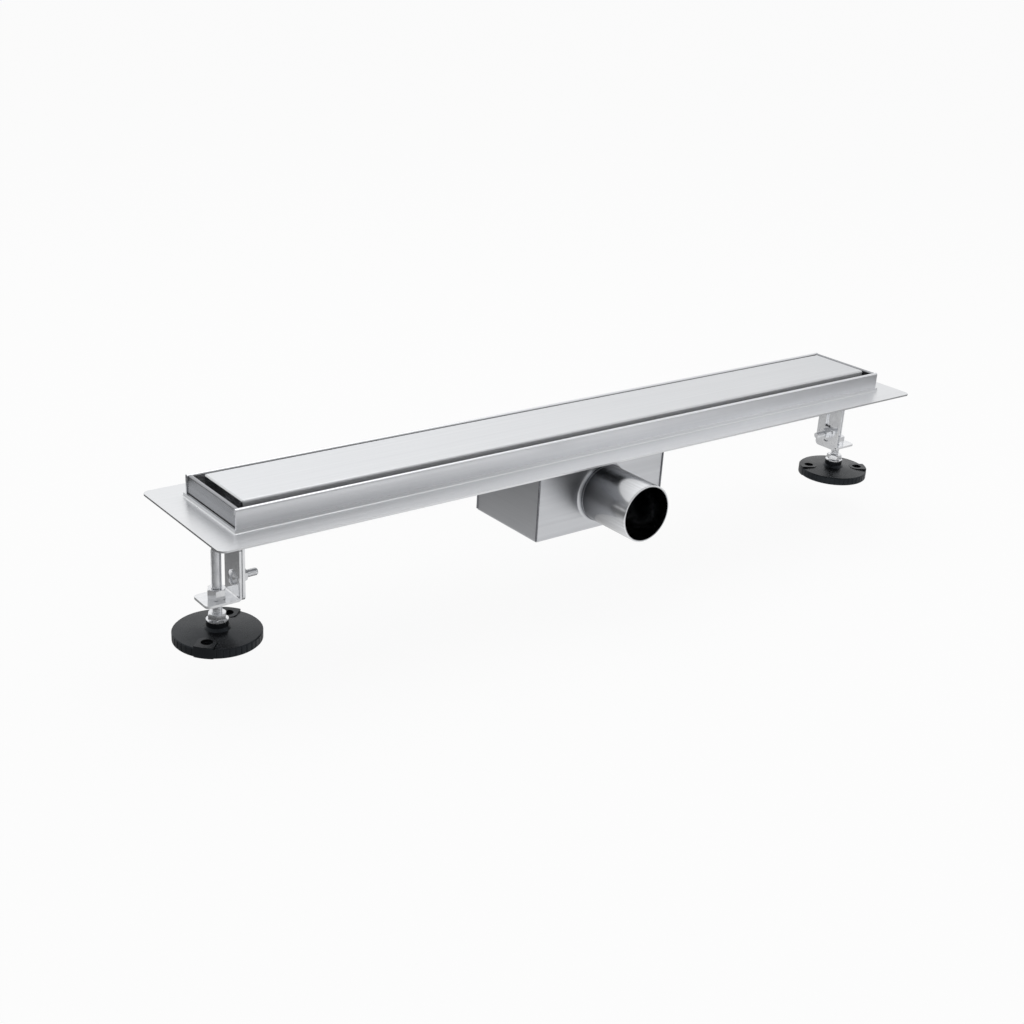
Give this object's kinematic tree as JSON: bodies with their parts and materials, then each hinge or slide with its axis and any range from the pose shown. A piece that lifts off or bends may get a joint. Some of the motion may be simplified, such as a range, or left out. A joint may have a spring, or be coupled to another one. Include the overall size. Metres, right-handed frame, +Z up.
{
  "type": "channel drain",
  "caption": "Linear floor drain: long shallow trough with flat lift-out cover, flange, side outlet on a sump box and levelling legs at both ends.",
  "frame": {"origin": "middle of the cover's top face, the finished floor level", "axes": "+X along the channel, -Y towards the outlet, +Z up"},
  "size_m": [0.765, 0.163, 0.1195],
  "materials": {
    "sheet_steel": "satin rolled",
    "cover_steel": "fine brushed",
    "strainer_steel": "satin",
    "plated_steel": "bright zinc",
    "foot_plastic": "moulded",
    "trap_plastic": "moulded",
    "seal_rubber": "moulded"
  },
  "bodies": {
    "channel": {"channel_trough": "sheet_steel", "end_plate_left": "sheet_steel", "end_plate_right": "sheet_steel", "flange": "sheet_steel", "sump_box": "sheet_steel", "outlet_pipe": "sheet_steel", "cover_foot_1": "sheet_steel", "cover_foot_2": "sheet_steel", "cover_foot_3": "sheet_steel", "cover_foot_4": "sheet_steel", "cover_plate": "cover_steel", "cover_pads": "seal_rubber", "trap_seal": "seal_rubber", "trap_tube": "trap_plastic", "trap_cup": "trap_plastic", "hair_strainer": "strainer_steel", "hanger_left": "plated_steel", "hanger_right": "plated_steel"},
    "bracket_left": {"slide_bracket_left": "plated_steel", "clamp_screw_left": "plated_steel", "clamp_washer_left": "plated_steel", "clamp_nut_left": "plated_steel", "lock_nut_left": "plated_steel"},
    "foot_left": {"foot_left": "foot_plastic"},
    "rod_left": {"levelling_rod_left": "plated_steel", "foot_nut_left": "plated_steel"},
    "bracket_right": {"slide_bracket_right": "plated_steel", "clamp_screw_right": "plated_steel", "clamp_washer_right": "plated_steel", "clamp_nut_right": "plated_steel", "lock_nut_right": "plated_steel"},
    "foot_right": {"foot_right": "foot_plastic"},
    "rod_right": {"levelling_rod_right": "plated_steel", "foot_nut_right": "plated_steel"}
  },
  "joints": [
    {"name": "bracket_slide_left", "type": "slide", "parent": "channel", "child": "bracket_left", "axis": [0, 0, 1], "range_m": [-0.006, 0.014]},
    {"name": "foot_height_left", "type": "slide", "parent": "bracket_left", "child": "foot_left", "axis": [0, 0, 1], "range_m": [-0.03, 0.0025]},
    {"name": "rod_turn_left", "type": "hinge", "parent": "foot_left", "child": "rod_left", "pos_m": [-0.3485, -0.004, -0.1195], "axis": [0, 0, 1], "range_deg": [-8640, 720]},
    {"name": "bracket_slide_right", "type": "slide", "parent": "channel", "child": "bracket_right", "axis": [0, 0, 1], "range_m": [-0.006, 0.014]},
    {"name": "foot_height_right", "type": "slide", "parent": "bracket_right", "child": "foot_right", "axis": [0, 0, 1], "range_m": [-0.03, 0.0025]},
    {"name": "rod_turn_right", "type": "hinge", "parent": "foot_right", "child": "rod_right", "pos_m": [0.3485, -0.004, -0.1195], "axis": [0, 0, 1], "range_deg": [-8640, 720]}
  ],
  "couplings": [
    {"joint": "foot_height_left", "follows": "rod_turn_left", "m_per_rad": 0.00019894},
    {"joint": "foot_height_right", "follows": "rod_turn_right", "m_per_rad": 0.00019894}
  ]
}
